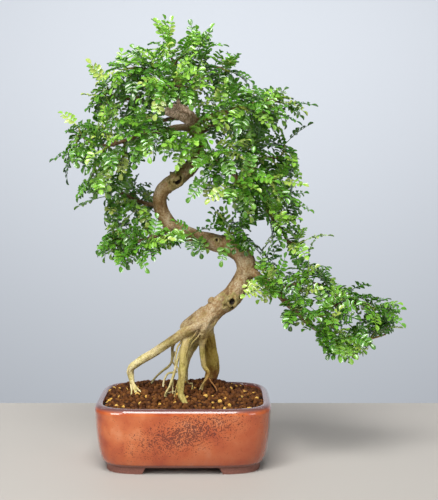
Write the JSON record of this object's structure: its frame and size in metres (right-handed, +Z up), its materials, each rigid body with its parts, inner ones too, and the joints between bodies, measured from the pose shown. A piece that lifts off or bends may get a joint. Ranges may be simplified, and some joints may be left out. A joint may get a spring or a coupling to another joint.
{
  "type": "sichuan pepper bonsai",
  "caption": "Potted dwarf tree with an S-curved trunk on bare arched roots, drooping compound leaves and a glazed oblong pot on low feet.",
  "frame": {"origin": "on the surface that the pot's feet stand on, under the middle of the whole object's box", "axes": "+Z up; -Y the front, which the trunk's curve and the arched roots face; +X the side that the low limb reaches out to"},
  "size_m": [0.4659, 0.2167, 0.6078],
  "materials": {
    "glazed_stoneware": "copper-orange glaze over stoneware",
    "akadama_soil": "rough fired-clay grains",
    "bark": "rough bark",
    "leaf": "satin leaf",
    "young_leaf": "satin young leaf",
    "drain_mesh_plastic": "moulded black plastic"
  },
  "bodies": {
    "root": {"drain_screen_left": "drain_mesh_plastic", "drain_screen_right": "drain_mesh_plastic", "pot": "glazed_stoneware", "soil": "akadama_soil", "spray_apex_back_1": "leaf", "spray_apex_back_2": "leaf", "spray_apex_front_1": "leaf", "spray_apex_front_2": "leaf", "spray_apex_left_1": "leaf", "spray_apex_left_2": "leaf", "spray_apex_right_1": "leaf", "spray_apex_right_2": "leaf", "spray_left_back_1": "leaf", "spray_left_mid_1": "leaf", "spray_left_mid_2": "leaf", "spray_left_mid_3": "leaf", "spray_left_tier_1": "leaf", "spray_left_tier_2": "leaf", "spray_left_tier_3": "leaf", "spray_left_tier_4": "leaf", "spray_left_tier_5": "leaf", "spray_left_upper_1": "leaf", "spray_left_upper_2": "leaf", "spray_left_upper_3": "leaf", "spray_low_left_1": "leaf", "spray_low_left_2": "leaf", "spray_low_left_3": "leaf", "spray_low_right_1": "leaf", "spray_low_right_2": "leaf", "spray_low_right_3": "leaf", "spray_low_right_4": "leaf", "spray_low_right_5": "leaf", "spray_low_right_6": "leaf", "spray_low_right_rise_1": "leaf", "spray_low_right_rise_2": "leaf", "spray_low_right_rise_3": "leaf", "spray_low_right_top_1": "leaf", "spray_low_right_top_2": "leaf", "spray_low_right_top_3": "leaf", "spray_right_back_1": "leaf", "spray_right_back_2": "leaf", "spray_right_front_1": "leaf", "spray_right_front_2": "leaf", "spray_right_front_3": "leaf", "spray_right_hang_1": "leaf", "spray_right_hang_2": "leaf", "spray_right_hang_3": "leaf", "spray_right_hang_4": "leaf", "spray_right_mid_1": "leaf", "spray_right_mid_2": "leaf", "spray_right_mid_3": "leaf", "spray_right_upper_1": "leaf", "spray_right_upper_2": "leaf", "spray_right_upper_3": "leaf", "spray_trunk_1": "young_leaf", "spray_trunk_2": "young_leaf", "spray_trunk_3": "young_leaf", "spray_trunk_4": "leaf", "spray_trunk_5": "leaf", "tree": "bark"}
  },
  "joints": []
}
